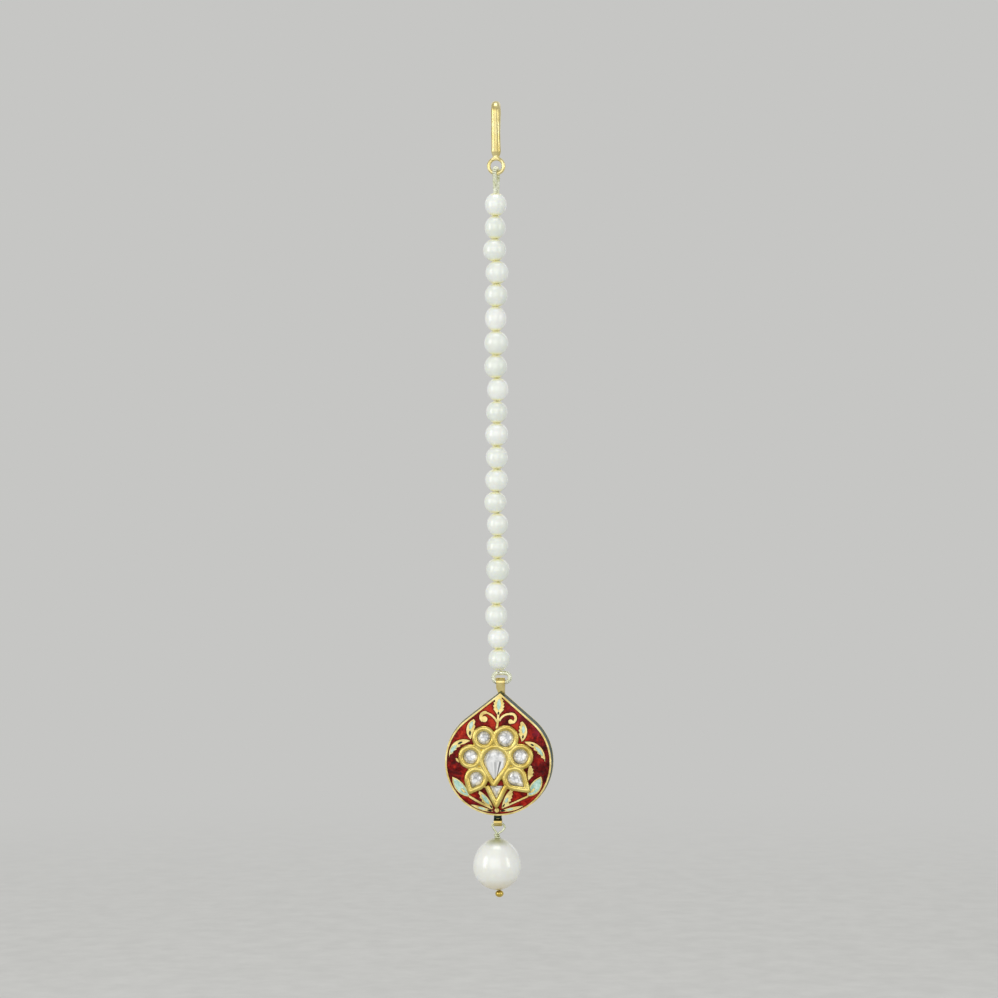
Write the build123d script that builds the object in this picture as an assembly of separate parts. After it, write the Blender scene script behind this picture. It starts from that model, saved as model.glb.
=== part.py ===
# Maang tikka: an Indian hair and forehead ornament, hanging as it is worn.
#
# A gold hook for the hair carries a string of pearls between two loops of coiled
# wire. Under it hangs a pear-shaped gold pendant: its front is engraved with leaves,
# filled with red and pale enamel and set with flat-cut stones in thick gold ridges,
# its sides and back are green. A wire loop in the pendant's lower bail carries the
# last, larger pearl.
#
# Frame, in millimetres: +Z up, the front faces -Y, +X to the right. The origin is the
# inside top of the hook's bend, where the hair carries it, and all hangs below it.

from build123d import *
from math import asin, atan2, cos, degrees, hypot, radians, sin, sqrt
import os

os.makedirs("parts", exist_ok=True)

# ---------------------------------------------------------------- driving dimensions

gap = 0.03                  # between a piece and what it is set into
hang_gap = 0.06             # between a loop and the wire that carries it
reach = 3                   # how far a cutting body goes past what it cuts

# hair hook: an oval wire, wide across X and thinner front to back
bend_wide, bend_thick = 1.6, 1.2
foot_wide, foot_thick = 1.9, 1.3
foot_part = 0.14            # the foot's widest place, this part of the way up the front leg
ankle_wide, ankle_thick = 0.98, 0.56    # where the leg meets the eye
tip_wide, tip_thick = 1.25, 1.0
bend_r = 1.7                # centreline of the bend
leg_back_end_z = -6.5       # the return leg is straight down to here
flick_r, flick_deg = 4.0, 22
tip_round = 0.35
eye_r, eye_wire_r, eye_z = 1.4, 0.35, -11.15

# coiled-wire loops and the string between them
coil_r = 0.45
coil_bend_r = 0.9           # where the upper loop goes over the hook's eye
coil_close_r = 0.48         # where its two legs meet above the first pearl
strand_top_z = -16.28
thread_r, drill_r = 0.2, 0.31
upper_loop_turn = -18       # degrees that the upper loop is turned about the string
lower_loop_wide, lower_loop_tall = 3.2, 1.75    # centreline of the lower loop
lower_loop_x = 0.6          # it has slipped to one side of the last pearl

# string of pearls: width, length along the string, drill hole off centre
pearls = [
    (4.09, 4.37, -0.13), (3.99, 4.37, -0.27), (4.37, 4.18, -0.36), (4.37, 4.37, 0.06),
    (4.37, 4.28, -0.11), (4.09, 4.66, -0.23), (4.56, 4.56, -0.15), (4.37, 4.37, -0.27),
    (4.09, 4.37, 0.10), (4.09, 4.18, -0.11), (4.37, 4.37, -0.13), (4.18, 4.37, -0.11),
    (4.37, 4.28, -0.21), (4.28, 4.09, -0.45), (4.09, 4.28, -0.06), (4.18, 4.28, -0.10),
    (4.47, 4.47, -0.04), (4.37, 4.28, -0.30), (4.28, 4.47, -0.35), (4.18, 3.99, 0.02),
    (4.18, 4.09, 0.15),
]
pearl_flat = 0.08           # how much of each end is worn flat round the hole

# pendant case: a pear outline, a circle and its two tangents up to a point
case_r = 10.07
case_apex = (0.43, 13.07)   # the point, from the circle's centre; it is a little off centre
case_depth = 3.8
case_splay = 0.25           # the back is larger than the front by this, all round
rim_wide = 0.3
field_deep = 0.4            # floor of the enamelled front, under the rim
enamel_low = 0.07           # enamel surface under the gold it lies between
side_rim, side_deep = 0.25, 0.25
back_rim, back_deep = 0.7, 0.3
cell_deep = 0.22            # floor of the enamelled cells in the leaves
smallest_enamel = 0.01      # mm3; nooks of the red ground with less than this stay empty
foot_clear = 0.12           # room that the side enamel leaves in front of the bail's foot

# bails: flat gold straps bent into loops
strap_thick = 0.35
top_bail_wide, top_bail_foot_wide = 1.62, 0.86
top_bail_long = 2.0
bail_foot_half = 0.42       # half depth of the strap's foot
bail_slot, bail_slot_r = 1.4, 0.12      # depth of the slot inside, and the radius of its end
bail_shoulder = 1.1         # the strap starts to narrow this far under the hinge
bail_sunk, neck_sunk = 0.6, 0.8         # how far the bails' feet go into the case
low_bail_wide, low_bail_r = 1.55, 0.76
low_strap_thick = 0.3
low_bail_x = -0.2
neck_half, collar_half, collar_tall = 0.3, 0.72, 0.5

# setting and stones, heights counted from the rim's plane towards the viewer
ridge_r = 0.54              # half width of a gold ridge
ridge_mid = 0.42            # height of the ridge's middle
plate_in = 0.14             # the plate under the ridges stops short of their outer sides
pocket_floor = -0.12
girdle, table = 0.3, 0.68
facet_count, crown_deg = 9, 32
facet_turn = 7              # degrees for each mm across, so that no two stones are cut alike
girdle_part = 0.97          # the crown starts this part of the way out
fan_turns = (-30, -10, 10, 30)          # the centre stone's long facets, from straight down

# drop: wire loop, wrapped stem, pearl and end bead
drop_wire_r = 0.19
drop_loop_half, drop_loop_long = 1.65, 1.85     # sharp corner of the loop, and down to the twist
drop_shoulder_r = 0.4
drop_twist_half, drop_twist_r = 0.25, 0.2
wrap_r, wrap_pitch, wrap_turns = 0.36, 0.42, 2
drop_pearl_wide, drop_pearl_long = 9.2, 9.92
drop_pearl_off = -0.22      # the pearl's middle, from its drill hole
pearl_belly = 0.43          # the pearl is widest this far under its middle
pearl_shoulder, pearl_crown = 0.59, 0.4         # how full it is above, at its side and its top
pearl_hip, pearl_foot = 0.58, 0.47              # the same below; 0.55 for both is round
drop_drill_r = 0.27
end_bead_r, end_bead_half = 0.8, 0.67
end_bead_off = 0.22         # the bead's middle, from its drill hole


# ---------------------------------------------------------------- places worked out

strand_bottom_z = strand_top_z - sum(row[1] for row in pearls)
swing_z = strand_bottom_z - gap - coil_r - lower_loop_tall      # the pendant's hinge
top_bail_in_r = coil_r + hang_gap
top_bail_out_r = top_bail_in_r + strap_thick
case_z = swing_z - top_bail_long - case_apex[1]                 # the circle's centre
half_depth = case_depth / 2
strap_x = case_apex[0]
collar_top_z = case_z - case_r - case_splay * (half_depth + collar_half) / case_depth - gap
low_bail_z = collar_top_z - collar_tall - gap - low_bail_r
low_bail_in_r = low_bail_r - low_strap_thick
drop_swing_z = low_bail_z - low_bail_in_r + hang_gap + drop_wire_r
drop_twist_z = drop_swing_z - drop_loop_long
wrap_tall = wrap_pitch * wrap_turns
drop_pearl_top_z = drop_twist_z - wrap_tall - gap
drop_pearl_z = drop_pearl_top_z - drop_pearl_long / 2
end_bead_z = drop_pearl_top_z - drop_pearl_long - gap - end_bead_half

front_plane = Plane(origin=(0, 0, case_z), x_dir=(1, 0, 0), z_dir=(0, -1, 0))
side_plane = Plane(origin=(0, 0, 0), x_dir=(0, 1, 0), z_dir=(1, 0, 0))


def save(name, shape):
    """Write one named piece."""
    export_step(shape, "parts/" + name + ".step")


# ---------------------------------------------------------------- outlines

def belt(c1, r1, c2, r2):
    """Closed outline round two circles as a belt runs; r2 of 0 makes a point."""
    span = hypot(c2[0] - c1[0], c2[1] - c1[1])
    along = Vector(c2[0] - c1[0], c2[1] - c1[1]) / span
    across = Vector(-along.Y, along.X)
    lean = (r1 - r2) / span
    left = along * lean + across * sqrt(1 - lean ** 2)
    right = along * lean - across * sqrt(1 - lean ** 2)
    big, small = Vector(*c1), Vector(*c2)
    edges = [
        ThreePointArc(big + left * r1, big - along * r1, big + right * r1),
        Line(big + right * r1, small + right * r2),
    ]
    if r2 > 0:
        edges.append(ThreePointArc(small + right * r2, small + along * r2, small + left * r2))
    edges.append(Line(small + left * r2, big + left * r1))
    return Wire([edge.edge() for edge in edges])


def drop_face(centre, radius, tip, grow=0.0):
    """A circle, or a circle with two tangents to a tip, grown evenly all round."""
    if tip is None:
        return Pos(*centre) * Circle(radius + grow)
    longer = (radius + grow) / radius
    far = (centre[0] + (tip[0] - centre[0]) * longer, centre[1] + (tip[1] - centre[1]) * longer)
    return make_face(belt(centre, radius + grow, far, 0))


def case_face(grow=0.0):
    """The pendant's own outline, about the circle's centre."""
    return drop_face((0, 0), case_r, case_apex, grow)


def slab(face, low, high):
    """Plate between two heights; 0 is the rim's plane and + is towards the viewer."""
    return extrude(front_plane.offset(half_depth + low) * face, high - low)


# ---------------------------------------------------------------- hair hook

def oval(y, z, run, wide, thick):
    """Oval wire section at a place in the YZ plane, square to the wire's run."""
    return Plane(origin=(0, y, z), x_dir=(1, 0, 0), z_dir=(0, run.X, run.Y)) * Ellipse(wide / 2, thick / 2)


def hair_hook():
    """Inclined front leg, bend over the hair, return leg with a flicked tip, eye."""
    bend_z = bend_thick / 2 - bend_r
    weld_z = eye_z + eye_r
    lean = asin(bend_r / (bend_z - weld_z))
    start = Vector(-bend_r * cos(lean), bend_z - bend_r * sin(lean))
    foot = Vector(0, weld_z)
    run = (start - foot).normalized()
    wide_at = foot + (start - foot) * foot_part
    front_leg = loft([
        oval(wide_at.X, wide_at.Y, run, foot_wide, foot_thick),
        oval(start.X, start.Y, run, bend_wide, bend_thick),
    ], ruled=True)
    ankle = loft([
        oval(foot.X, foot.Y, run, ankle_wide, ankle_thick),
        oval(wide_at.X, wide_at.Y, run, foot_wide, foot_thick),
    ], ruled=True)
    bend = revolve(
        oval(start.X, start.Y, run, bend_wide, bend_thick),
        Axis((0, 0, bend_z), (-1, 0, 0)), 180 + degrees(lean))
    down = Vector(0, -1)
    back_leg = loft([
        oval(bend_r, bend_z, down, bend_wide, bend_thick),
        oval(bend_r, leg_back_end_z, down, tip_wide, tip_thick),
    ], ruled=True)
    flick = revolve(
        oval(bend_r, leg_back_end_z, down, tip_wide, tip_thick),
        Axis((0, bend_r + flick_r, leg_back_end_z), (1, 0, 0)), flick_deg)
    flick = fillet(flick.edges().sort_by(Axis.Z)[0], tip_round)
    eye = Pos(0, 0, eye_z) * Rot(90, 0, 0) * Torus(eye_r, eye_wire_r)
    return eye + ankle + front_leg + bend + back_leg + flick


# ---------------------------------------------------------------- coiled loops

def ring_along(path, radius):
    """Round tube that follows a closed path."""
    section = Plane(origin=path @ 0, z_dir=path % 0) * Circle(radius)
    return sweep(section, path)


def upper_loop():
    """Loop through the hook's eye, whose legs meet above the first pearl."""
    top_z = eye_z - eye_r + eye_wire_r + hang_gap + coil_r - coil_bend_r
    low_z = strand_top_z + gap + coil_r + coil_close_r
    loop = ring_along(side_plane * belt((0, top_z), coil_bend_r, (0, low_z), coil_close_r), coil_r)
    return Rot(0, 0, upper_loop_turn) * loop


def lower_loop():
    """Flat oval loop that the pendant's bail hangs on."""
    end_r = lower_loop_tall / 2
    side = lower_loop_wide / 2 - end_r
    oval_plane = Plane(origin=(lower_loop_x, 0, swing_z + end_r), x_dir=(1, 0, 0), z_dir=(0, -1, 0))
    return ring_along(oval_plane * belt((-side, 0), end_r, (side, 0), end_r), coil_r)


# ---------------------------------------------------------------- pearls

def pearl(wide, long, off_centre, centre_z):
    """Slightly long or flat pearl with worn ends, drilled along Z at x = 0."""
    body = scale(Sphere(1), by=(wide / 2, wide / 2, long / 2 + pearl_flat))
    body = body & Box(2 * wide, 2 * wide, long - gap)
    body = Pos(off_centre, 0, 0) * body - Cylinder(drill_r, 2 * long)
    return Pos(0, 0, centre_z) * body


# ---------------------------------------------------------------- engraved leaves

# base and tip about the case's centre; full width; how far the middle bows to the left
# of the line from base to tip; enamelled cells, each from and to a part of that line and
# so wide; teeth cut in the left and the right edge
leaves = {
    "top": dict(
        base=(0.06, 8.75), tip=(0.3, 12.6), wide=1.7, bow=0,
        pale=(0.26, 0.87, 0.85), dark=(0.05, 0.24, 0.42), teeth=(5, 5)),
    "upper_left": dict(
        base=(-5.2, 4.4), tip=(-4.58, 8.2), wide=1.4, bow=0.38,
        pale=(0.44, 0.9, 0.74), dark=(0.16, 0.42, 0.48), teeth=(0, 3)),
    "upper_right": dict(
        base=(4.5, 3.95), tip=(4.6, 7.75), wide=1.4, bow=-0.28,
        pale=(0.37, 0.82, 0.72), dark=(0.14, 0.34, 0.4), teeth=(4, 0)),
    "side_left": dict(
        base=(-5.3, 4.1), tip=(-9.25, 0.95), wide=1.25, bow=-0.95,
        pale=(0.48, 0.88, 0.76), dark=(0.24, 0.46, 0.46), teeth=(4, 0)),
    "side_right": dict(
        base=(5.0, 3.9), tip=(8.87, 0.1), wide=1.25, bow=0.8,
        pale=(0.36, 0.82, 0.66), dark=(0.2, 0.34, 0.4), teeth=(0, 4)),
    "big_left": dict(
        base=(-5.45, -6.5), tip=(-8.68, -2.75), wide=1.75, bow=0.2,
        pale=(0.05, 0.93, 1.45), dark=None, teeth=(0, 0)),
    "big_right": dict(
        base=(5.5, -6.4), tip=(8.13, -2.66), wide=2.0, bow=-0.28,
        pale=(0.06, 0.93, 1.66), dark=None, teeth=(0, 0)),
    "inner_left": dict(
        base=(-1.0, -8.8), tip=(-3.6, -5.4), wide=1.1, bow=0.05,
        pale=(0.24, 0.84, 0.76), dark=(0.04, 0.22, 0.36), teeth=(4, 0)),
    "inner_right": dict(
        base=(0.67, -8.74), tip=(2.6, -4.95), wide=1.1, bow=-0.1,
        pale=(0.28, 0.58, 0.6), dark=(0.06, 0.26, 0.36), teeth=(0, 5)),
    "outer_left": dict(
        base=(-0.95, -9.25), tip=(-5.22, -7.98), wide=0.66, bow=0.12,
        pale=(0.31, 0.7, 0.42), dark=(0.05, 0.29, 0.34), teeth=(0, 0)),
    "outer_right": dict(
        base=(0.2, -9.2), tip=(4.75, -8.2), wide=0.66, bow=-0.14,
        pale=(0.28, 0.6, 0.42), dark=(0.05, 0.26, 0.34), teeth=(0, 0)),
    "sprig_left": dict(
        base=(-7.0, 0.0), tip=(-8.05, 0.85), wide=0.5, bow=0.1,
        pale=None, dark=None, teeth=(0, 0)),
    "sprig_right": dict(
        base=(5.75, -3.4), tip=(6.0, -0.5), wide=0.9, bow=-0.2,
        pale=None, dark=None, teeth=(0, 4)),
}
tooth_long, tooth_lean = 0.25, 0.75     # height, and how far along itself its point stands
tooth_range = (0.25, 0.97)      # stretch of an edge that its teeth take
vein = (0.2, 0.46, 0.36)        # gold drop left inside each big leaf's cell

# stems and scrolls: three points of each arc, and its width
stems = [
    ((0.06, 9.0), (0.0, 8.0), (-0.25, 6.4), 0.4),
    ((-0.19, 7.7), (-1.05, 8.8), (-2.19, 9.42), 0.34),
    ((-2.19, 9.42), (-3.23, 8.68), (-2.85, 7.87), 0.58),
    ((0.3, 7.85), (1.24, 8.93), (2.28, 9.16), 0.36),
    ((2.28, 9.16), (3.38, 8.4), (2.7, 7.55), 0.46),
    ((-1.1, -8.7), (-3.5, -7.6), (-5.5, -6.4), 0.4),
    ((0.7, -8.6), (3.2, -7.5), (5.6, -6.4), 0.3),
]
discs = [((-2.55, 8.2), 0.56), ((2.42, 7.72), 0.44), ((-0.28, -9.05), 0.42)]


def leaf_edge(base, tip, bulge, teeth):
    """One side of a leaf: an arc, or that arc cut into teeth that lean towards the tip."""
    out = Vector(-(tip - base).Y, (tip - base).X).normalized() * (1 if bulge > 0 else -1)
    arc = ThreePointArc(base, (base + tip) / 2 + out * abs(bulge), tip)
    if teeth == 0:
        return arc
    start, end = tooth_range
    points = [base]
    for number in range(teeth):
        points.append(arc @ (start + (end - start) * number / teeth))
        points.append(arc @ (start + (end - start) * (number + tooth_lean) / teeth) + out * tooth_long)
    return Polyline(*points, tip)


def leaf_face(base, tip, wide, bow, teeth=(0, 0)):
    """Leaf from base to tip between its two edges."""
    base, tip = Vector(*base), Vector(*tip)
    left = leaf_edge(base, tip, bow + wide / 2, teeth[0])
    right = leaf_edge(base, tip, bow - wide / 2, teeth[1])
    return make_face(left.edges() + right.edges())


def along_leaf(leaf, part):
    """Point on a leaf's bowed midline, part of the way from base to tip."""
    base, tip = Vector(*leaf["base"]), Vector(*leaf["tip"])
    left = Vector(-(tip - base).Y, (tip - base).X).normalized()
    return base + (tip - base) * part + left * (4 * leaf["bow"] * part * (1 - part))


def cell_face(leaf, cell, grow=0.0):
    """Pointed cell on a leaf's midline."""
    start, end, wide = cell
    low, high = along_leaf(leaf, start), along_leaf(leaf, end)
    reach = (high - low).normalized() * grow
    low, high = low - reach, high + reach
    bow = leaf["bow"] * (end - start) ** 2
    return leaf_face((low.X, low.Y), (high.X, high.Y), wide + 2 * grow, bow)


def leaf_work(grow=0.0):
    """All engraved gold left standing in the red field."""
    faces = []
    for leaf in leaves.values():
        face = leaf_face(leaf["base"], leaf["tip"], leaf["wide"], leaf["bow"], leaf["teeth"])
        faces.append(offset(face, grow) if grow else face)
    for start, middle, end, wide in stems:
        faces.append(trace(ThreePointArc(start, middle, end), line_width=wide + 2 * grow))
    for centre, radius in discs:
        faces.append(Pos(*centre) * Circle(radius + grow))
    return faces


# ---------------------------------------------------------------- setting and stones

# round stones and drop stones: middle of the round part, radius, tip or None
stones = {
    "centre_stone": ((-0.57, 0.42), 2.08, (-0.75, -3.28)),
    "petal_stone_1": ((-2.65, 4.7), 1.22, None),
    "petal_stone_2": ((1.45, 4.55), 1.5, None),
    "petal_stone_3": ((4.3, 1.15), 1.4, None),
    "petal_stone_4": ((3.15, -2.95), 1.33, (4.9, -4.55)),
    "petal_stone_5": ((-4.12, -3.0), 1.24, (-4.95, -4.7)),
    "petal_stone_6": ((-5.2, 1.12), 1.3, None),
}
base_middle, base_half = -0.32, 1.2     # triangular stone under the centre one
base_top, base_tip = -4.42, -6.82
base_plate_top = -4.52                  # its plate starts below the flower's own


def base_face(grow=0.0):
    """Triangle, point down, grown evenly all round."""
    side = hypot(base_half, base_top - base_tip)
    lower = grow * side / base_half
    wider = grow * (side + base_half) / (base_top - base_tip)
    return make_face(Polyline(
        (base_middle - base_half - wider, base_top + grow),
        (base_middle + base_half + wider, base_top + grow),
        (base_middle, base_tip - lower),
        close=True))


def setting_faces(grow=0.0):
    """Footprint of the setting's plate, stone by stone."""
    grow += 2 * ridge_r - plate_in
    faces = [drop_face(centre, radius, tip, grow) for centre, radius, tip in stones.values()]
    below = Rectangle(6 * base_half, 6 * base_half, align=(Align.CENTER, Align.MAX))
    return faces + [base_face(grow) & Pos(base_middle, base_plate_top) * below]


def tube(path, radius):
    """Round bar along a flat path with corners."""
    section = Plane(origin=path @ 0, z_dir=path % 0) * Circle(radius)
    return sweep(section, path, transition=Transition.ROUND)


def ridge(centre, radius, tip):
    """Round gold ridge that runs about one stone."""
    middle = front_plane.offset(half_depth + ridge_mid)
    if tip is None:
        return middle * Pos(*centre) * Torus(radius + ridge_r, ridge_r)
    longer = (radius + ridge_r) / radius
    far = (centre[0] + (tip[0] - centre[0]) * longer, centre[1] + (tip[1] - centre[1]) * longer)
    return tube(middle * belt(centre, radius + ridge_r, far, 0), ridge_r)


def base_ridge():
    """The V under the flower: a ridge down each side of the triangular stone."""
    side = hypot(base_half, base_top - base_tip)
    wide = base_half + ridge_r * side / (base_top - base_tip)
    low = base_tip - ridge_r * side / base_half
    middle = front_plane.offset(half_depth + ridge_mid)
    path = Polyline((base_middle - wide, base_top), (base_middle, low), (base_middle + wide, base_top))
    return tube(Wire((middle * path).edges()), ridge_r)


def kundan_setting():
    """Ridges burnished round the stones, one piece on its own plate."""
    body = slab(Sketch() + setting_faces(), -field_deep + gap, ridge_mid - plate_in) + base_ridge()
    for centre, radius, tip in stones.values():
        body += ridge(centre, radius, tip)
    for centre, radius, tip in stones.values():
        body -= slab(drop_face(centre, radius, tip, gap), pocket_floor, 2 * table)
    return body - slab(base_face(gap), pocket_floor, 2 * table)


def grind(body, point, height, azimuth, steep):
    """Grind one flat facet: through a point, facing an azimuth, so many degrees steep."""
    facing = Vector(cos(radians(azimuth)), sin(radians(azimuth)))
    normal = Vector(sin(radians(steep)) * facing.X, -cos(radians(steep)), sin(radians(steep)) * facing.Y)
    origin = Vector(point.X, -half_depth - height, case_z + point.Y)
    return split(body, bisect_by=Plane(origin=origin, z_dir=normal), keep=Keep.BOTTOM)


def crown(body, centre, corners, radius, first):
    """Grind the facets from the girdle up to the table."""
    for number in range(facet_count):
        azimuth = first + 360 / facet_count * number
        facing = Vector(cos(radians(azimuth)), sin(radians(azimuth)))
        far = max([radius] + [(corner - centre).dot(facing) for corner in corners])
        body = grind(body, centre + facing * far * girdle_part, girdle, azimuth, crown_deg)
    return body


def stone(name):
    """Flat-cut stone with a table and a crown; the centre one has a fan of long facets."""
    centre, radius, tip = stones[name]
    body = slab(drop_face(centre, radius, tip), pocket_floor + gap, table)
    corners = [Vector(*tip)] if tip else []
    body = crown(body, Vector(*centre), corners, radius, facet_turn * centre[0])
    if name == "centre_stone":
        fan_top = Vector(*centre)
        fan_deg = degrees(atan2(table - girdle, centre[1] - tip[1]))
        for turn in fan_turns:
            body = grind(body, fan_top, table, turn - 90, fan_deg)
    return body


def base_stone():
    """Triangular stone under the flower."""
    body = slab(base_face(), pocket_floor + gap, table)
    corners = [Vector(vertex.X, vertex.Y) for vertex in base_face().vertices()]
    return crown(body, Vector(base_middle, base_top - base_half / 2), corners, 0, 90)


# ---------------------------------------------------------------- case and enamel

def case_loft(low, high, inset):
    """Pear block between two heights; its walls splay towards the back."""
    faces = []
    for height in (low, high):
        spread = case_splay * -height / case_depth - inset
        faces.append(front_plane.offset(half_depth + height) * case_face(spread))
    return loft(faces, ruled=True)


def wall_band(low, high, outer, inner):
    """Band of the side wall between two insets."""
    return case_loft(low, high, outer) - case_loft(low, high, inner)


def cells(kind, grow=0.0):
    """Every leaf's cell of one kind; in the big leaves a gold drop stands in the middle."""
    faces = []
    for name, leaf in leaves.items():
        if leaf[kind] and name.startswith("big"):
            faces.append(cell_face(leaf, leaf[kind], grow) - cell_face(leaf, vein, -grow))
        elif leaf[kind]:
            faces.append(cell_face(leaf, leaf[kind], grow))
    return Sketch() + faces


def top_bail():
    """Strap bent over the loop's wire; its left edge slants in to a narrow foot."""
    low_z = swing_z - top_bail_long - bail_sunk
    outer = make_face(belt((0, swing_z), top_bail_out_r, (0, low_z), bail_foot_half))
    inner = make_face(belt((0, swing_z), top_bail_in_r, (0, swing_z - bail_slot), bail_slot_r))
    strap = extrude(side_plane * (outer - inner), top_bail_wide / 2, both=True)
    wide = top_bail_wide / 2
    foot_z = low_z - bail_foot_half
    front = make_face(Polyline(
        (-wide, swing_z + reach), (wide, swing_z + reach), (wide, foot_z),
        (wide - top_bail_foot_wide, foot_z), (-wide, swing_z - bail_shoulder), close=True))
    return Pos(strap_x, 0, 0) * (strap & extrude(Plane.XZ * front, reach, both=True))


def low_bail():
    """Ring of strap under the case, and the neck that joins them."""
    outer = Pos(0, low_bail_z) * (Circle(low_bail_r) - Circle(low_bail_in_r))
    ring = extrude(side_plane * outer, low_bail_wide / 2, both=True)
    neck_top = case_z - case_r + neck_sunk
    neck_low = low_bail_z + low_bail_in_r + low_strap_thick / 2
    neck = Pos(0, 0, (neck_top + neck_low) / 2) * Box(2 * neck_half, 2 * neck_half, neck_top - neck_low)
    return Pos(low_bail_x, 0, 0) * (ring + neck)


def pendant_case():
    """Gold case: rim, engraved front, grooved sides and back, both bails."""
    body = case_loft(-case_depth, 0, 0)
    field = Sketch() + case_face(-rim_wide) - (Sketch() + leaf_work() - setting_faces(gap))
    body -= slab(field, -field_deep, reach)
    body -= slab(cells("pale") + cells("dark") - setting_faces(gap), -cell_deep, reach)
    body -= wall_band(-case_depth + side_rim, -side_rim, -reach, side_deep)
    body -= slab(case_face(case_splay - back_rim), -case_depth - reach, -case_depth + back_deep)
    return body + top_bail() + low_bail()


def bail_feet():
    """Room that the side enamel leaves round the bail's foot and the neck."""
    deep = 2 * (bail_foot_half + foot_clear)
    foot = Pos(strap_x, 0, case_z + case_apex[1]) * Box(top_bail_wide, deep, reach)
    hole = 2 * (neck_half + gap)
    neck = Pos(low_bail_x, 0, case_z - case_r) * Box(hole, hole, reach)
    return foot + neck


def side_enamel():
    """Green band in the groove of the side wall."""
    low, high = -case_depth + side_rim + gap, -side_rim - gap
    return wall_band(low, high, gap, side_deep - gap) - bail_feet()


def back_enamel():
    """Plain green panel in the back."""
    face = case_face(case_splay - back_rim - gap)
    return slab(face, -case_depth + gap, -case_depth + back_deep - gap)


def red_enamel():
    """Red ground of the front, between the rim, the leaves and the setting."""
    ground = Sketch() + case_face(-rim_wide - gap) - leaf_work(gap) - setting_faces(gap)
    enamel = slab(ground, -field_deep + gap, -enamel_low)
    return Compound([piece for piece in enamel.solids() if piece.volume > smallest_enamel])


def cell_enamel(kind):
    """Enamel that fills the cells of one kind."""
    return slab(cells(kind, -gap) - setting_faces(2 * gap), -cell_deep + gap, -enamel_low)


def collar():
    """Green collar round the neck, between case and lower bail."""
    block = Box(2 * collar_half, 2 * collar_half, collar_tall)
    hole = Box(2 * neck_half + 2 * gap, 2 * neck_half + 2 * gap, 2 * collar_tall)
    return Pos(low_bail_x, 0, collar_top_z - collar_tall / 2) * (block - hole)


# ---------------------------------------------------------------- drop

def drop_wire():
    """Wire loop in the lower bail, wrapped under it, and the pin through the pearl."""
    outline = FilletPolyline(
        (-drop_loop_half, drop_swing_z), (drop_loop_half, drop_swing_z),
        (drop_twist_half, drop_twist_z), (-drop_twist_half, drop_twist_z),
        radius=[drop_shoulder_r, drop_shoulder_r, drop_twist_r, drop_twist_r], close=True)
    body = ring_along(Wire((Plane.XZ * outline).edges()), drop_wire_r)
    body += Pos(0, 0, drop_twist_z - wrap_tall / 2) * Cylinder(wrap_r, wrap_tall)
    for turn in range(wrap_turns):
        turn_z = drop_twist_z - wrap_tall * (turn + 0.5) / wrap_turns
        body += Pos(0, 0, turn_z) * Torus(wrap_r, drop_wire_r)
    pin_top, pin_low = drop_twist_z - wrap_tall + gap, end_bead_z + gap
    body += Pos(0, 0, (pin_top + pin_low) / 2) * Cylinder(drop_wire_r, pin_top - pin_low)
    return Pos(low_bail_x, 0, 0) * body


def drop_pearl():
    """Large pearl, a little narrower above like an egg, drilled from top to bottom."""
    wide, tall, belly = drop_pearl_wide / 2, drop_pearl_long / 2, -pearl_belly
    side_above = belly + pearl_shoulder * (tall - belly)
    side_below = belly - pearl_hip * (tall + belly)
    outline = [
        Bezier((wide, belly), (wide, side_above), (pearl_crown * wide, tall), (0, tall)),
        Line((0, tall), (0, -tall)),
        Bezier((0, -tall), (pearl_foot * wide, -tall), (wide, side_below), (wide, belly)),
    ]
    half = make_face([edge.edge() for edge in outline])
    body = revolve(Plane.XZ * half, Axis.Z)
    body = Pos(drop_pearl_off, 0, 0) * body - Cylinder(drop_drill_r, 2 * drop_pearl_long)
    return Pos(low_bail_x, 0, drop_pearl_z) * body


def end_bead():
    """Small gold bead that closes the pin."""
    body = scale(Sphere(1), by=(end_bead_r, end_bead_r, end_bead_half))
    drill = Pos(0, 0, end_bead_r) * Cylinder(drop_wire_r + gap, 2 * end_bead_r)
    return Pos(low_bail_x, 0, end_bead_z) * (Pos(end_bead_off, 0, 0) * body - drill)


# ---------------------------------------------------------------- write the pieces

save("hair_hook", hair_hook())
save("upper_coil_loop", upper_loop())
save("lower_coil_loop", lower_loop())
save("thread", Pos(0, 0, (strand_top_z + strand_bottom_z) / 2) * Cylinder(
    thread_r, strand_top_z - strand_bottom_z))

top_z = strand_top_z
for number, (wide, long, off_centre) in enumerate(pearls, start=1):
    save(f"strand_pearl_{number:02d}", pearl(wide, long, off_centre, top_z - long / 2))
    top_z -= long

save("pendant_case", pendant_case())
save("kundan_setting", kundan_setting())
for name in stones:
    save(name, stone(name))
save("base_stone", base_stone())
save("red_enamel", red_enamel())
save("pale_enamel", cell_enamel("pale"))
save("dark_enamel", cell_enamel("dark"))
save("side_enamel", side_enamel())
save("back_enamel", back_enamel())
save("neck_collar", collar())
save("drop_wire", drop_wire())
save("drop_pearl", drop_pearl())
save("end_bead", end_bead())
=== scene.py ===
# %% [markdown]
# # A maang tikka, dressed in Blender
# A maang tikka hangs in the parting of the hair: a gold hook, a string of pearls, an
# enamelled gold pendant set with flat-cut stones, and one larger pearl under it. The solids
# come from CAD as a fixed frame. This script gives each of them its real surface: drawn and
# wound wire, nacre, fired enamel, and gold that was pushed round the stones by hand.

import math
import random

import bmesh
import bpy
import numpy as np
from mathutils import Matrix, Vector
from mathutils.kdtree import KDTree


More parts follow.
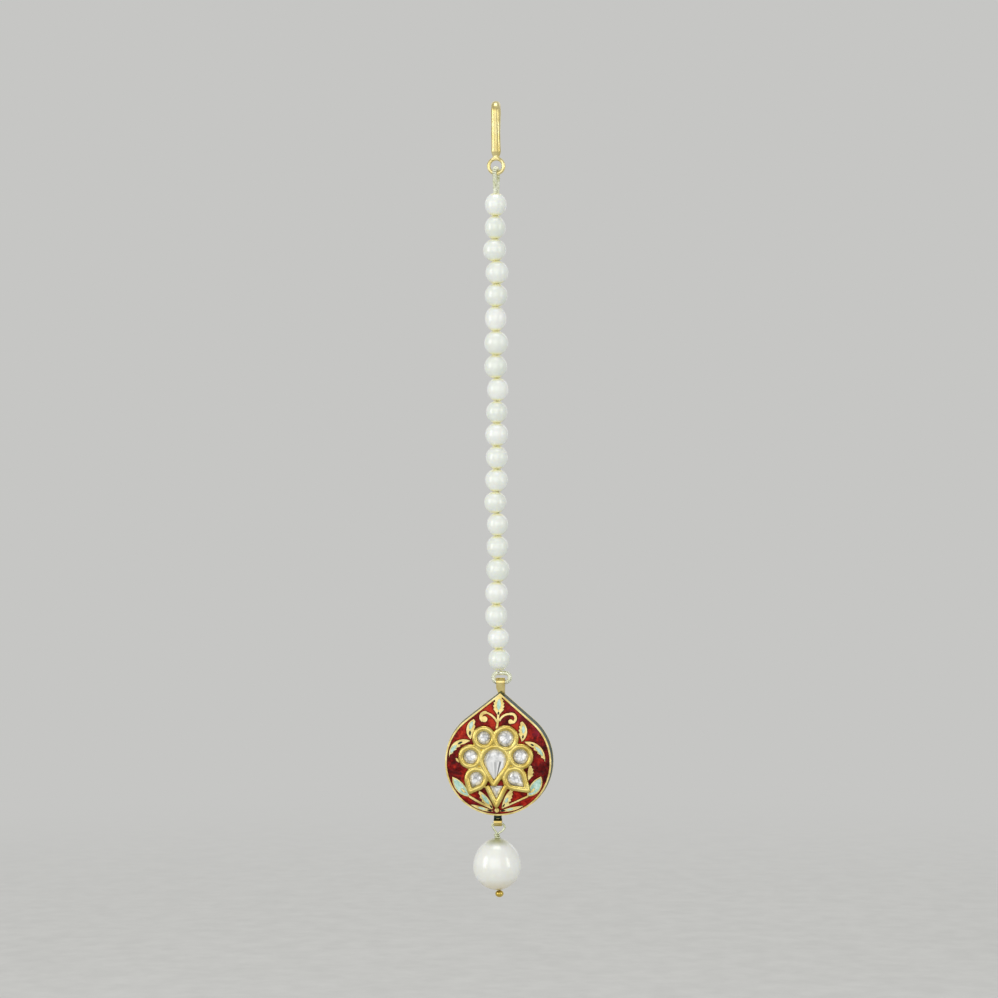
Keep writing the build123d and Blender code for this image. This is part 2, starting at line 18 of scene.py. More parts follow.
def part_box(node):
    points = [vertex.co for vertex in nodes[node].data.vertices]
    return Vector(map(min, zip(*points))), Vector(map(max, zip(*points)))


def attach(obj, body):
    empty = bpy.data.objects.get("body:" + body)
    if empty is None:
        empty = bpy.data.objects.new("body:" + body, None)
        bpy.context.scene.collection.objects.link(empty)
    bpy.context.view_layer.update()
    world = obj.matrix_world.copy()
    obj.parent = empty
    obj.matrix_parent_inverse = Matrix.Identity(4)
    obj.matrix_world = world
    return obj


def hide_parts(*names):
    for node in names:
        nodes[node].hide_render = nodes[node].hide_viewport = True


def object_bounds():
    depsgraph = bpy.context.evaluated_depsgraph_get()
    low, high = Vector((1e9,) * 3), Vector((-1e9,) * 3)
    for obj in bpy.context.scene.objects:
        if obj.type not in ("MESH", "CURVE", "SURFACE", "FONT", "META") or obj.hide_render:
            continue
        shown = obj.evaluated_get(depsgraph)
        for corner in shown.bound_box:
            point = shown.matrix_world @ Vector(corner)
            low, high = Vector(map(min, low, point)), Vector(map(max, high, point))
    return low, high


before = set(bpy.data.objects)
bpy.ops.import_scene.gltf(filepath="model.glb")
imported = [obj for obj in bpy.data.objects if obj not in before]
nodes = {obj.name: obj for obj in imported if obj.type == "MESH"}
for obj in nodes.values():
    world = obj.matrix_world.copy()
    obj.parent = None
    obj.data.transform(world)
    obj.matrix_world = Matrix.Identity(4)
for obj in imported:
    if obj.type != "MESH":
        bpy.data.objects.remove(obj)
cad_box = [list(corner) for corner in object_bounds()]
print("CAD nodes:", len(nodes), "box in m:", cad_box)

# %% [markdown]
# ## Small tools
# Jewellery is measured in millimetres and Blender's frame is in metres, so every length is
# written in mm and multiplied by MM once. Colours are written as hex, as in any paint
# program, and turned to the linear values that the shaders work in. One function adds any
# shader or geometry node with its settings and links, which keeps a node tree as short as a
# list of what it does.

# %% Lengths, colours and nodes
MM = 0.001


def per_mm(size):
    """Scale of a pattern whose features are so many mm across, on coordinates in metres."""
    return 1 / (size * MM)


def linear(code):
    """An sRGB hex colour as the linear colour that shaders use."""
    parts = [int(code[start:start + 2], 16) / 255 for start in (1, 3, 5)]
    low, high = 0.04045, [((part + 0.055) / 1.055) ** 2.4 for part in parts]
    return tuple(part / 12.92 if part <= low else power for part, power in zip(parts, high)) + (1,)


def add(tree, kind, inputs=None, **settings):
    """Add one node: its settings by name, and its inputs by name or number."""
    node = tree.nodes.new(kind)
    for name, value in settings.items():
        setattr(node, name, value)
    for key, value in (inputs or {}).items():
        if isinstance(value, bpy.types.NodeSocket):
            tree.links.new(value, node.inputs[key])
        else:
            node.inputs[key].default_value = value
    return node


def blend_stops(ramp, stops):
    """Set the stops of a colour ramp: pairs of a place and a hex colour."""
    while len(ramp.color_ramp.elements) < len(stops):
        ramp.color_ramp.elements.new(0.5)
    for element, (place, code) in zip(ramp.color_ramp.elements, stops):
        element.position = place
        element.color = linear(code)
    return ramp.outputs[0]


def new_finish(name):
    """A new material with its tree, its main shader and its Object coordinates."""
    material = bpy.data.materials.new(name)
    material.use_nodes = True
    tree = material.node_tree
    shader = tree.nodes["Principled BSDF"]
    place = add(tree, "ShaderNodeTexCoord").outputs["Object"]
    return material, tree, shader, place


print("1 mm is", MM, "m; a 0.5 mm pattern has scale", per_mm(0.5))

# %% Meshes and pieces
def new_object(name, mesh):
    """Put a mesh in the scene as an object at the origin."""
    piece = bpy.data.objects.new(name, mesh)
    bpy.context.scene.collection.objects.link(piece)
    return piece


def mesh_object(name, points, faces):
    """Object from points in mm and faces."""
    mesh = bpy.data.meshes.new(name)
    mesh.from_pydata([Vector(point) * MM for point in points], [], faces)
    mesh.shade_smooth()
    return new_object(name, mesh)


def baked(piece):
    """Replace an object by a plain mesh of what its curve or modifiers make."""
    depsgraph = bpy.context.evaluated_depsgraph_get()
    mesh = bpy.data.meshes.new_from_object(piece.evaluated_get(depsgraph))
    name = piece.name
    bpy.data.objects.remove(piece)
    mesh.name = name
    return new_object(name, mesh)


def recalculated(piece):
    """Turn all faces outwards."""
    body = bmesh.new()
    body.from_mesh(piece.data)
    bmesh.ops.recalc_face_normals(body, faces=body.faces)
    body.to_mesh(piece.data)
    body.free()
    return piece


def dress(piece, body, slot, material, *stands_for):
    """Give a finished piece its material, its body and the nodes it stands for. The slot is not used."""
    piece.data.materials.clear()
    piece.data.materials.append(material)
    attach(piece, body)
    if stands_for:
        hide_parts(*stands_for)
    piece.data.calc_loop_triangles()
    print(piece.name, "on", body, "triangles:", len(piece.data.loop_triangles))


def merged_copy(name, node, sharp_deg=30):
    """Copy of a CAD node with its loose triangles joined, smooth except at real edges."""
    mesh = nodes[node].data.copy()
    mesh.name = name
    if "custom_normal" in mesh.attributes:      # normals from the file don't survive the joining
        mesh.attributes.remove(mesh.attributes["custom_normal"])
    body = bmesh.new()
    body.from_mesh(mesh)
    bmesh.ops.remove_doubles(body, verts=body.verts, dist=0.001 * MM)
    body.to_mesh(mesh)
    body.free()
    mesh.shade_smooth()
    mesh.set_sharp_from_angle(angle=math.radians(sharp_deg))
    return new_object(name, mesh)


def walk(start, heading, moves, step=0.06):
    """Points of a flat path in mm: each move is a length and the degrees it turns on the way."""
    points, angle = [Vector(start)], math.radians(heading)
    for length, turn in moves:
        count = max(1, round(length / step))
        for _ in range(count):
            angle += math.radians(turn) / count / 2
            points.append(points[-1] + Vector((math.cos(angle), math.sin(angle))) * length / count)
            angle += math.radians(turn) / count / 2
    return points


print("helpers ready")

# %% [markdown]
# ## Gold
# Three golds are on this tikka. The hook and the case are high-carat sheet and wire, filed and
# polished, so they mirror softly and show fine drawn or filed lines. The gold round the
# stones is pure foil, pushed on cold with a steel burnisher: it is yellower, with smaller
# dents. A metal keeps its default IOR: its colour is in the base colour, and its
# roughness says how far the polish went.

# %% Gold finishes
def gold_finish(name, low, high, rough, dent_mm, dent_deep, line_mm, line_deep):
    """Gold: two tones that drift, soft dents of the hammer and fine lines of the file."""
    material, tree, shader, place = new_finish(name)
    drift = add(tree, "ShaderNodeTexNoise", {"Vector": place, "Scale": per_mm(2.2), "Detail": 3})
    tone = add(tree, "ShaderNodeValToRGB", {0: drift.outputs[0]})
    tree.links.new(blend_stops(tone, [(0.32, low), (0.66, high)]), shader.inputs["Base Color"])
    polish = add(tree, "ShaderNodeTexNoise", {"Vector": place, "Scale": per_mm(0.9), "Detail": 3})
    gloss = add(tree, "ShaderNodeMapRange", {
        0: polish.outputs[0], 1: 0.3, 2: 0.75, 3: rough * 0.85, 4: rough * 1.25})
    tree.links.new(gloss.outputs[0], shader.inputs["Roughness"])
    stretched = add(tree, "ShaderNodeMapping", {0: place, "Scale": (1, 1, 0.12)})
    lines = add(tree, "ShaderNodeTexNoise", {
        "Vector": stretched.outputs[0], "Scale": per_mm(line_mm), "Detail": 2})
    filed = add(tree, "ShaderNodeBump", {
        "Height": lines.outputs[0], "Distance": line_deep * MM, "Strength": 1.0})
    dents = add(tree, "ShaderNodeTexNoise", {
        "Vector": place, "Scale": per_mm(dent_mm), "Detail": 2, "Roughness": 0.4})
    bump = add(tree, "ShaderNodeBump", {
        "Height": dents.outputs[0], "Distance": dent_deep * MM, "Strength": 1.0,
        "Normal": filed.outputs[0]})
    tree.links.new(bump.outputs[0], shader.inputs["Normal"])
    shader.inputs["Metallic"].default_value = 1.0
    return material


# sheet gold, stoned flush with the enamel and polished: a soft mirror with broad shallow dents
sheet_gold = gold_finish(
    "polished_sheet_gold", "#CAB064", "#EADA98",
    rough=0.2, dent_mm=1.1, dent_deep=0.03, line_mm=0.5, line_deep=0.001)
# the hook's wire is drawn and filed, paler and duller, with lines along it
hook_gold = gold_finish(
    "drawn_gold_wire", "#DECA80", "#F0E4AC",
    rough=0.28, dent_mm=1.6, dent_deep=0.008, line_mm=0.6, line_deep=0.0004)
# kundan: pure foil pushed on by hand, yellower and satin, with the burnisher's dents
kundan_gold = gold_finish(
    "burnished_pure_gold_foil", "#C8AC52", "#E8D684",
    rough=0.26, dent_mm=0.8, dent_deep=0.025, line_mm=0.4, line_deep=0.002)
print("golds:", sheet_gold.name, hook_gold.name, kundan_gold.name)

# %% [markdown]
# ## Wound and drawn wire
# The loops at both ends of the string are made of gimp: a silver-gilt wire as fine as a hair
# wound into a tiny tube, which the silk runs through so that it doesn't fray. The drop hangs
# on plain drawn wire of the same metal. Both are pale, because the gilding is thin.

# %% Silver-gilt wire
def wire_finish(name, low, high, rough, metal):
    """Pale drawn wire with tarnish that gathers in patches."""
    material, tree, shader, place = new_finish(name)
    patches = add(tree, "ShaderNodeTexNoise", {"Vector": place, "Scale": per_mm(0.8), "Detail": 3})
    tone = add(tree, "ShaderNodeValToRGB", {0: patches.outputs[0]})
    tree.links.new(blend_stops(tone, [(0.3, low), (0.6, high)]), shader.inputs["Base Color"])
    gloss = add(tree, "ShaderNodeMapRange", {0: patches.outputs[0], 3: rough * 1.5, 4: rough * 0.7})
    tree.links.new(gloss.outputs[0], shader.inputs["Roughness"])
    drawn = add(tree, "ShaderNodeTexNoise", {"Vector": place, "Scale": per_mm(0.15)})
    bump = add(tree, "ShaderNodeBump", {"Height": drawn.outputs[0], "Distance": 0.002 * MM})
    tree.links.new(bump.outputs[0], shader.inputs["Normal"])
    shader.inputs["Metallic"].default_value = metal
    return material


# the gimp is paler and rougher than the plain wire, and a little less metallic
gimp_wire = wire_finish("silver_gilt_gimp", "#D8DBB8", "#FBFDEC", rough=0.3, metal=0.7)
drop_wire_metal = wire_finish("silver_gilt_drawn_wire", "#BFC39C", "#E6EACC", rough=0.22, metal=0.8)

# silk: dull and fibrous, it only shows where the loops end
silk, tree, shader, place = new_finish("waxed_silk_thread")
fibres = add(tree, "ShaderNodeTexNoise", {"Vector": place, "Scale": per_mm(0.08), "Detail": 2})
tone = add(tree, "ShaderNodeValToRGB", {0: fibres.outputs[0]})
tree.links.new(blend_stops(tone, [(0.35, "#8C7A3C"), (0.65, "#D8CE96")]), shader.inputs["Base Color"])
shader.inputs["Roughness"].default_value = 0.8
print("wires:", gimp_wire.name, drop_wire_metal.name, silk.name)

# %% [markdown]
# ## Nacre
# A pearl's lustre is light that comes back from many thin layers. A renderer can trace that,
# but a white body with a soft sheen and a clear coat comes close to it at a fraction of the
# cost: the coat makes the small sharp highlight, and the rough layer under it the wide soft
# one. Wax and old silk stain a string's pearls yellow round their drill holes; the pale yellow
# there is also painted light, lifting the shade where two pearls meet. So each pearl carries an
# attribute that runs from 0 at its middle to 1 at its ends. The large pearl's runs up to its top alone,
# where it turns a darker olive,

# %% Nacre finish
def nacre_finish(name, body_code, cool_code, end_tint_code, end_tint_from):
    """Nacre with cool and warm drifts, tinted towards the drill holes: stain and painted light on a string's
    pearls.
    """
    material, tree, shader, place = new_finish(name)
    end = add(tree, "ShaderNodeAttribute", attribute_name="pearl_end").outputs["Fac"]
    tone = add(tree, "ShaderNodeAttribute", attribute_name="pearl_tone").outputs["Fac"]
    drift = add(tree, "ShaderNodeTexNoise", {"Vector": place, "Scale": per_mm(2.5), "Detail": 2})
    both = add(tree, "ShaderNodeMath", {0: drift.outputs[0], 1: tone}, operation="ADD")
    body = add(tree, "ShaderNodeMix", {
        0: both.outputs[0], 6: linear(body_code), 7: linear(cool_code)}, data_type="RGBA")
    # towards the ends the colour turns to the end tint: on the string's pearls a real stain and painted
    # light that lifts the shade where they meet, on the large pearl a darker olive towards its top
    reach = add(tree, "ShaderNodeMapRange", {0: end, 1: end_tint_from, 2: 1.0}, interpolation_type="SMOOTHSTEP")
    end_tinted = add(tree, "ShaderNodeMix", {
        0: reach.outputs[0], 6: body.outputs[2], 7: linear(end_tint_code)}, data_type="RGBA")
    warm = add(tree, "ShaderNodeAttribute", attribute_name="pearl_warm").outputs["Fac"]
    warmed = add(tree, "ShaderNodeMix", {
        0: warm, 6: end_tinted.outputs[2], 7: linear("#DFD2AC")}, data_type="RGBA")
    tree.links.new(warmed.outputs[2], shader.inputs["Base Color"])
    skin = add(tree, "ShaderNodeTexNoise", {"Vector": place, "Scale": per_mm(0.6), "Detail": 3})
    bump = add(tree, "ShaderNodeBump", {"Height": skin.outputs[0], "Distance": 0.006 * MM})
    tree.links.new(bump.outputs[0], shader.inputs["Normal"])
    shader.inputs["Roughness"].default_value = 0.36
    shader.inputs["IOR"].default_value = 1.53
    shader.inputs["Subsurface Weight"].default_value = 0.35
    shader.inputs["Subsurface Radius"].default_value = (1.0, 0.9, 0.7)
    shader.inputs["Subsurface Scale"].default_value = 0.9 * MM
    shader.inputs["Coat Weight"].default_value = 0.9
    shader.inputs["Coat Roughness"].default_value = 0.14
    shader.inputs["Coat IOR"].default_value = 1.7
    return material


string_nacre = nacre_finish("akoya_nacre", "#E6ECE2", "#F6F9F5", "#FAF5BE", end_tint_from=0.66)
drop_nacre = nacre_finish("large_pearl_nacre", "#ECECE2", "#F7FAF7", "#A8A86C", end_tint_from=0.7)
print("pearls:", string_nacre.name, drop_nacre.name)

# %% [markdown]
# ## Enamel
# Enamel is glass, ground to powder, laid into the cut gold and fired, then stoned flush and
# polished. The red is see-through: the cut floor under it shows as lighter and darker
# patches, and next to the gold it is painted dark brown, as painted shade where it meets the walls. The pale
# green and the
# near-black green are opaque. The shine of glass is a clear coat here, with a slow wave in
# it. It is kept thin on the red and the side, so that their own colour shows.

# %% Enamels
def enamel_finish(name, stops, patch_mm, coat=0.6, shine=0.06, wave_deep=0.02):
    """Fired enamel: patches of the cut floor under a wavy polished surface."""
    material, tree, shader, place = new_finish(name)
    floor = add(tree, "ShaderNodeTexNoise", {
        "Vector": place, "Scale": per_mm(patch_mm), "Detail": 3, "Roughness": 0.55, "Distortion": 0.6})
    grain = add(tree, "ShaderNodeTexVoronoi", {"Vector": place, "Scale": per_mm(0.35)})
    mixed = add(tree, "ShaderNodeMix", {
        0: 0.15, 2: floor.outputs[0], 3: grain.outputs[0]}, data_type="FLOAT")
    tone = add(tree, "ShaderNodeValToRGB", {0: mixed.outputs[0]})
    colour = blend_stops(tone, stops)
    tree.links.new(colour, shader.inputs["Base Color"])
    wave = add(tree, "ShaderNodeTexNoise", {"Vector": place, "Scale": per_mm(1.6), "Detail": 1})
    bump = add(tree, "ShaderNodeBump", {"Height": wave.outputs[0], "Distance": wave_deep * MM})
    tree.links.new(bump.outputs[0], shader.inputs["Normal"])
    tree.links.new(bump.outputs[0], shader.inputs["Coat Normal"])
    shader.inputs["Roughness"].default_value = 0.35
    shader.inputs["Specular IOR Level"].default_value = 0.03
    shader.inputs["Coat Weight"].default_value = coat
    shader.inputs["Coat Roughness"].default_value = shine
    return material, tree, shader, place, colour


red_enamel, tree, shader, place, colour = enamel_finish("ruby_red_translucent_enamel", [
    (0.34, "#340403"), (0.44, "#620806"), (0.52, "#8E120B"), (0.62, "#BE3018")], 3.0, coat=0.16)
# here and there the red turns to violet: painted sheen, the soft reflection of light on the enamel
sheen_noise = add(tree, "ShaderNodeTexNoise", {"Vector": place, "Scale": per_mm(4.2), "Detail": 2})
sheen_mask = add(tree, "ShaderNodeMapRange", {0: sheen_noise.outputs[0], 1: 0.54, 2: 0.7, 3: 0.0, 4: 0.6})
colour = add(tree, "ShaderNodeMix", {
    0: sheen_mask.outputs[0], 6: colour, 7: linear("#7E2040")}, data_type="RGBA").outputs[2]
# near the gold walls the red is painted dark brown: painted shade where the enamel meets them
edge = add(tree, "ShaderNodeAttribute", attribute_name="from_gold").outputs["Fac"]
reach = add(tree, "ShaderNodeMapRange", {0: edge, 1: 0.0, 2: 1.0}, interpolation_type="SMOOTHSTEP")
shade_at_gold = add(tree, "ShaderNodeMix", {
    0: reach.outputs[0], 6: linear("#5A0E06"), 7: colour}, data_type="RGBA")
tree.links.new(shade_at_gold.outputs[2], shader.inputs["Base Color"])

pale_enamel = enamel_finish("pale_aqua_opaque_enamel", [
    (0.3, "#9CCDBA"), (0.5, "#BFE3D5"), (0.7, "#E2F6EE")], 0.7)[0]
dark_enamel = enamel_finish("near_black_green_enamel", [
    (0.3, "#04110C"), (0.7, "#0C2E22")], 0.8)[0]
side_enamel = enamel_finish("deep_green_translucent_enamel", [
    (0.3, "#07211B"), (0.5, "#0C3329"), (0.75, "#174A3D")], 1.8, coat=0.05)[0]
back_enamel = enamel_finish("green_back_enamel", [
    (0.3, "#08332A"), (0.5, "#0E463A"), (0.75, "#1A604E")], 3.0)[0]
print("enamels:", red_enamel.name, pale_enamel.name, dark_enamel.name, side_enamel.name, back_enamel.name)

# %% [markdown]
# ## Flat-cut stones
# The stones are thin slices, flat on top, over silver foil that is crumpled and sealed under
# them. What the eye meets is the foil: patches of bright and grey, broken by its creases. A
# see-through stone over real foil is slow and noisy to render, so the foil's light and shade are
# painted in the stone: painted reflections in bright and grey patches, and painted shade in dark creases,
# under a clear coat.

# %% Foiled stones
def foil_finish(name, grey, crease):
    """Stone over crumpled foil: painted reflections in bright and grey patches, broken by the painted shade
    of the creases.
    """
    material, tree, shader, place = new_finish(name)
    # bright and grey patches: painted reflections of the foil
    soft = add(tree, "ShaderNodeTexNoise", {"Vector": place, "Scale": per_mm(1.3), "Detail": 2})
    tone = add(tree, "ShaderNodeValToRGB", {0: soft.outputs[0]})
    patches = blend_stops(tone, [(0.32, grey), (0.46, "#DCDDDE"), (0.58, "#FBFBFB")])
    # dark lines along the edges of warped cells: painted shade in the foil's creases
    bent = add(tree, "ShaderNodeTexNoise", {"Vector": place, "Scale": per_mm(1.5), "Detail": 2})
    moved = add(tree, "ShaderNodeVectorMath", {0: bent.outputs[1], "Scale": 0.9 * MM}, operation="SCALE")
    warped = add(tree, "ShaderNodeVectorMath", {0: place, 1: moved.outputs[0]}, operation="ADD")
    cells = add(tree, "ShaderNodeTexVoronoi", {
        "Vector": warped.outputs[0], "Scale": per_mm(1.1)}, feature="DISTANCE_TO_EDGE")
    crease_shade = add(tree, "ShaderNodeMapRange", {0: cells.outputs[0], 1: 0.0, 2: 0.12, 3: crease, 4: 1.0})
    foil = add(tree, "ShaderNodeMix", {
        0: 1.0, 6: patches, 7: crease_shade.outputs[0]}, data_type="RGBA", blend_type="MULTIPLY")
    tree.links.new(foil.outputs[2], shader.inputs["Base Color"])
    shader.inputs["Roughness"].default_value = 0.2
    shader.inputs["Metallic"].default_value = 0.2
    shader.inputs["Coat Weight"].default_value = 1.0
    shader.inputs["Coat Roughness"].default_value = 0.02
    return material, tree, shader, place, foil.outputs[2]


petal_stone = foil_finish("foil_backed_flat_cut_stone", "#B4B5B7", 0.55)[0]
centre_stone, tree, shader, place, foil = foil_finish("foil_backed_pear_cut_stone", "#B5B6B4", 0.85)
# below its flat table the pear stone is cut in long facets that run together at its tip; their glints and
# dark reflections are painted as bright and grey bars that fan to the tip
pear_low, pear_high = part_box("centre_stone")
pear_middle, pear_half = (pear_low.x + pear_high.x) / 2, (pear_high.x - pear_low.x) / 2
table_part = 0.6                    # the table starts this part of the way up the stone
meet_below = 0.6                    # mm under the tip, where the facets' lines run together
table_soft = 0.15                   # mm on each side of the table's edge, over which they give way
table_z = pear_low.z + table_part * (pear_high.z - pear_low.z)
parts = add(tree, "ShaderNodeSeparateXYZ", {0: place})
from_tip = add(tree, "ShaderNodeMapRange", {
    0: parts.outputs[2], 1: pear_low.z - meet_below * MM, 2: table_z, 3: 0.05, 4: 1.0})
off = add(tree, "ShaderNodeMath", {0: parts.outputs[0], 1: pear_middle}, operation="SUBTRACT")
fan = add(tree, "ShaderNodeMath", {0: off.outputs[0], 1: from_tip.outputs[0]}, operation="DIVIDE")
across = add(tree, "ShaderNodeMapRange", {0: fan.outputs[0], 1: -pear_half, 2: pear_half, 3: 0.0, 4: 4.6})
facet_glint_noise = add(tree, "ShaderNodeTexNoise", {
    "W": across.outputs[0], "Scale": 1.0, "Detail": 1}, noise_dimensions="1D")
tone = add(tree, "ShaderNodeValToRGB", {0: facet_glint_noise.outputs[0]})
painted_facet_glints = blend_stops(tone, [(0.38, "#77787B"), (0.45, "#D2D3D4"), (0.5, "#FFFFFF"), (0.6, "#E6E7E8")])
table = add(tree, "ShaderNodeMapRange", {
    0: parts.outputs[2], 1: table_z - table_soft * MM, 2: table_z + table_soft * MM})
table_and_glints = add(tree, "ShaderNodeMix", {0: table.outputs[0], 6: painted_facet_glints, 7: foil}, data_type="RGBA")
tree.links.new(table_and_glints.outputs[2], shader.inputs["Base Color"])
print("stones:", petal_stone.name, centre_stone.name)

# %% [markdown]
# ## The hair hook
# The hook is one thick wire, hammered oval: it runs up, bends over the hair and comes down
# behind with its tip turned out, and a thin ring is soldered to its foot. Sweeping an oval
# along the path gives the wire. The solder makes the ring and the foot one body, so the two
# are remeshed together in small voxels. Those leave fine steps, which polished metal would
# show, so the new skin is laid back on the bodies that it came from and softened a little,
# which rounds the join as solder does.

# %% The wire's path
bend_r = 1.7
eye_r, eye_wire_r, eye_z = 1.4, 0.35, -11.15
hook_top = 0.6                      # outside of the bend; its inside is the origin's height
weld_z = eye_z + eye_r
bend_z = hook_top - bend_r
lean_deg = math.degrees(math.asin(bend_r / (bend_z - weld_z)))
leg_long = math.sqrt((bend_z - weld_z) ** 2 - bend_r ** 2)
bend_long = math.radians(180 + lean_deg) * bend_r
back_long, flick_long, flick_deg = 5.4, 1.54, 22
hook_path = walk((0, weld_z), 90 + lean_deg, [
    (leg_long, 0), (bend_long, -180 - lean_deg), (back_long, 0), (flick_long, flick_deg)])
print("hook path, mm:", round(leg_long + bend_long + back_long + flick_long, 1), "points:", len(hook_path))

# %% The oval sweep and its ring
# distance along the path, width and thickness of the oval
hook_sections = [
    (0.0, 1.0, 0.62), (0.45, 1.3, 0.8), (0.9, 1.66, 1.1), (1.4, 1.84, 1.26), (2.4, 1.78, 1.26),
    (leg_long, 1.6, 1.2), (leg_long + bend_long, 1.6, 1.2),
    (leg_long + bend_long + back_long, 1.25, 1.0),
    (leg_long + bend_long + back_long + flick_long - 0.3, 1.2, 0.96),
    (leg_long + bend_long + back_long + flick_long, 0.7, 0.5)]


def oval_sweep(path, sections, sides=96):
    """Points and faces of an oval bar along a path in the YZ plane, in mm."""
    run = [0.0]
    for before, after in zip(path, path[1:]):
        run.append(run[-1] + (after - before).length)
    at = [row[0] for row in sections]
    wides = np.interp(run, at, [row[1] for row in sections])
    thicks = np.interp(run, at, [row[2] for row in sections])
    points, faces = [], []
    for index, centre in enumerate(path):
        ahead = path[min(index + 1, len(path) - 1)] - path[max(index - 1, 0)]
        across = Vector((-ahead.y, ahead.x)).normalized()
        for side in range(sides):
            angle = 2 * math.pi * side / sides
            side_out = across * math.sin(angle) * thicks[index] / 2
            points.append((math.cos(angle) * wides[index] / 2, centre.x + side_out.x, centre.y + side_out.y))
    for ring in range(len(path) - 1):
        for side in range(sides):
            a, b = ring * sides + side, ring * sides + (side + 1) % sides
            faces.append((a, b, b + sides, a + sides))
    faces.append(tuple(reversed(range(sides))))
    faces.append(tuple(range(len(points) - sides, len(points))))
    return points, faces


def ring_mesh(centre_z, radius, wire_r, count=240, sides=48):
    """Points and faces of a round ring in the XZ plane, in mm."""
    points, faces = [], []
    for turn in range(count):
        angle = 2 * math.pi * turn / count
        for side in range(sides):
            around = 2 * math.pi * side / sides
            reach = radius + wire_r * math.cos(around)
            points.append((
                reach * math.cos(angle), wire_r * math.sin(around), centre_z + reach * math.sin(angle)))
            a, b = turn * sides + side, turn * sides + (side + 1) % sides
            c = (turn + 1) % count * sides
            faces.append((a, b, c + (side + 1) % sides, c + side))
    return points, faces


def joined(first, second):
    """Two sets of points and faces as one."""
    count = len(first[0])
    return first[0] + second[0], first[1] + [tuple(i + count for i in face) for face in second[1]]


bar = oval_sweep(hook_path, hook_sections)
# the solder stands up in front of the leg as a small peak
peak = oval_sweep(walk((-0.12, weld_z - 0.3), 97, [(1.35, 0)]), [
    (0.0, 2.5, 0.7), (0.35, 1.9, 0.78), (0.7, 1.1, 0.8), (1.1, 0.5, 0.6), (1.35, 0.2, 0.3)])
body = joined(joined(bar, ring_mesh(eye_z, eye_r, eye_wire_r)), peak)
hook = recalculated(mesh_object("hair_hook_gold", *body))
print("hook before soldering, points:", len(hook.data.vertices))

# %% [markdown]
# The same remesh serves the kundan gold and the red enamel later. It works in mm, because in
# metres its voxels would be finer than 0.0001, the smallest that Blender's slider offers.

# %% Remesh and smooth
smooth_part, last_rounds = 0.5, 4   # strength of each smoothing round, and rounds after laying back


def flowed(piece, voxel, rounds, keep=None, back=False):
    """Fuse a piece's bodies in voxels of so many mm and smooth them as heat or a burnisher does.
    With back, the skin is then laid back on the bodies, which takes the voxels' steps out."""
    piece.data.transform(Matrix.Scale(1 / MM, 4))
    bodies = new_object("bodies_before", piece.data.copy()) if back else None
    piece.modifiers.new("voxels", "REMESH").voxel_size = voxel
    piece.modifiers["voxels"].mode = "VOXEL"
    smooth = piece.modifiers.new("smooth", "SMOOTH")
    smooth.factor, smooth.iterations = smooth_part, rounds
    if back:
        piece.modifiers.new("laid_back", "SHRINKWRAP").target = bodies
        soften = piece.modifiers.new("soften", "SMOOTH")
        soften.factor, soften.iterations = smooth_part, last_rounds
    made = baked(piece)
    if back:
        bpy.data.objects.remove(bodies)
    if keep:
        body = bmesh.new()
        body.from_mesh(made.data)
        hidden = [face for face in body.faces if not keep(face.calc_center_median())]
        bmesh.ops.delete(body, geom=hidden, context="FACES")
        body.to_mesh(made.data)
        body.free()
    made.data.transform(Matrix.Scale(MM, 4))
    made.data.shade_smooth()
    return made


hook = flowed(hook, 0.045, 3, back=True)
dress(hook, "strand", "gold", hook_gold, "hair_hook")

# %% [markdown]
# ## The gimp loops
# Gimp is a spring of fine wire. A helix round a path is a rule, so Geometry Nodes make it:
# resample the path, turn an offset about its tangent as the path goes by, and give the
# result a round profile. The upper loop stands on the first pearl like an arch through the
# hook's ring. The lower one lies flat and wide, and its two ends meet, a little crooked,
# under the last pearl.

